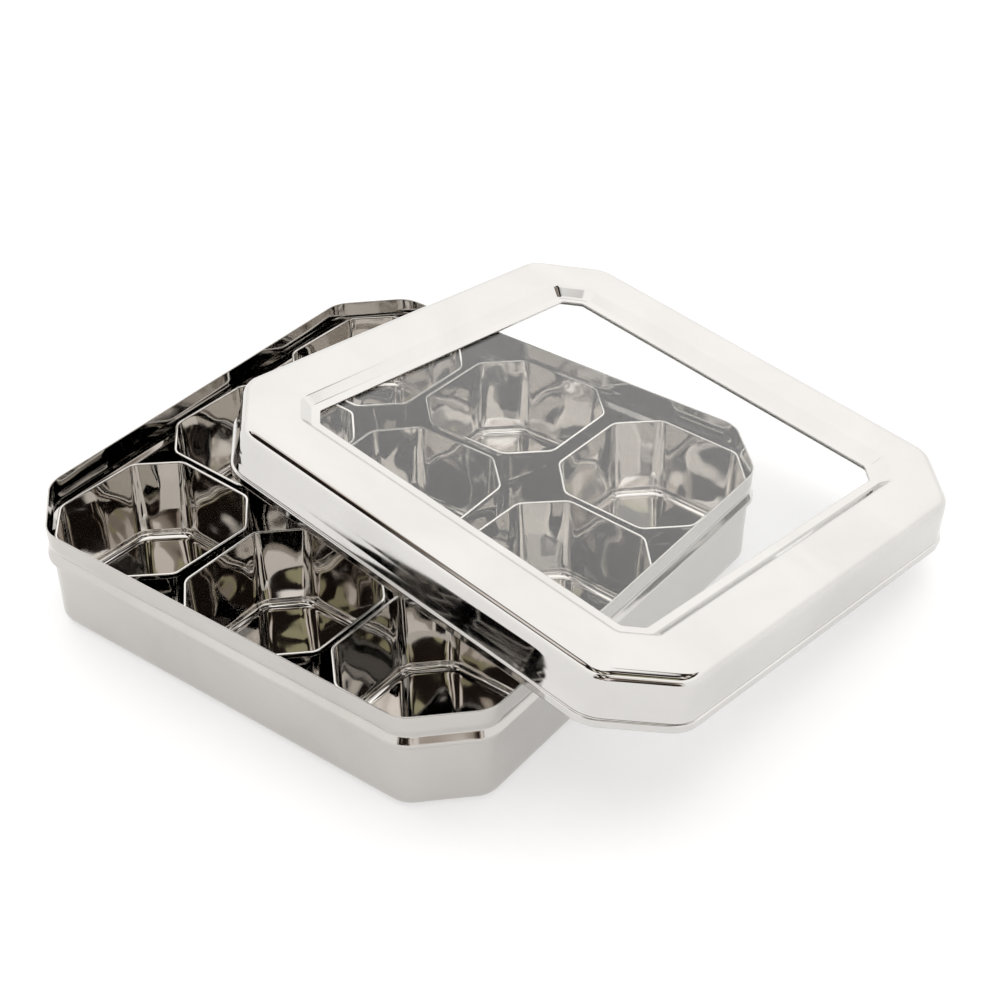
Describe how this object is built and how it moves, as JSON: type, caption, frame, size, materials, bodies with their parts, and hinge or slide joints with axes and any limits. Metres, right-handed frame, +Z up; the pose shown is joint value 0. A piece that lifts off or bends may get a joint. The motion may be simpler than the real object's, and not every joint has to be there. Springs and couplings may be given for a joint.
{
  "type": "spice box",
  "caption": "Flat clipped-square steel spice box with loose octagonal cups and a loose lid with a clear window, lid off and leaning on the box.",
  "frame": {"origin": "middle of the box's flat base, on the surface it stands on", "axes": "+Z up out of the open box, -Y towards the front of the box, +X to its right"},
  "size_m": [0.3272, 0.315, 0.096],
  "materials": {
    "box_steel": "bright pressed stainless steel",
    "cup_steel": "mirror pressed stainless steel",
    "lid_steel": "bright pressed stainless steel with a softly satin top",
    "retainer_steel": "plain rolled stainless steel",
    "pane_glass": "clear polished pane",
    "seal_rubber": "thin translucent silicone"
  },
  "bodies": {
    "box": {"box": "box_steel"},
    "lid": {"lid_frame": "lid_steel", "window_pane": "pane_glass", "pane_seal": "seal_rubber", "pane_retainer": "retainer_steel"},
    "cup_front_left": {"cup_front_left": "cup_steel"},
    "cup_front_middle": {"cup_front_middle": "cup_steel"},
    "cup_front_right": {"cup_front_right": "cup_steel"},
    "cup_middle_left": {"cup_middle_left": "cup_steel"},
    "cup_centre": {"cup_centre": "cup_steel"},
    "cup_middle_right": {"cup_middle_right": "cup_steel"},
    "cup_back_left": {"cup_back_left": "cup_steel"},
    "cup_back_middle": {"cup_back_middle": "cup_steel"},
    "cup_back_right": {"cup_back_right": "cup_steel"}
  },
  "joints": [
    {"name": "lid_lift", "type": "slide", "parent": "box", "child": "lid", "axis": [0, 0, 1], "range_m": [0, 0.2]},
    {"name": "cup_front_left_lift", "type": "slide", "parent": "box", "child": "cup_front_left", "axis": [0, 0, 1], "range_m": [0, 0.027]},
    {"name": "cup_front_middle_lift", "type": "slide", "parent": "box", "child": "cup_front_middle", "axis": [0, 0, 1], "range_m": [0, 0.017]},
    {"name": "cup_front_right_lift", "type": "slide", "parent": "box", "child": "cup_front_right", "axis": [0, 0, 1], "range_m": [0, 0.008]},
    {"name": "cup_middle_left_lift", "type": "slide", "parent": "box", "child": "cup_middle_left", "axis": [0, 0, 1], "range_m": [0, 0.019]},
    {"name": "cup_centre_lift", "type": "slide", "parent": "box", "child": "cup_centre", "axis": [0, 0, 1], "range_m": [0, 0.027]},
    {"name": "cup_middle_right_lift", "type": "slide", "parent": "box", "child": "cup_middle_right", "axis": [0, 0, 1], "range_m": [0, 0.016]},
    {"name": "cup_back_left_lift", "type": "slide", "parent": "box", "child": "cup_back_left", "axis": [0, 0, 1], "range_m": [0, 0.01]},
    {"name": "cup_back_middle_lift", "type": "slide", "parent": "box", "child": "cup_back_middle", "axis": [0, 0, 1], "range_m": [0, 0.017]},
    {"name": "cup_back_right_lift", "type": "slide", "parent": "box", "child": "cup_back_right", "axis": [0, 0, 1], "range_m": [0, 0.008]}
  ]
}
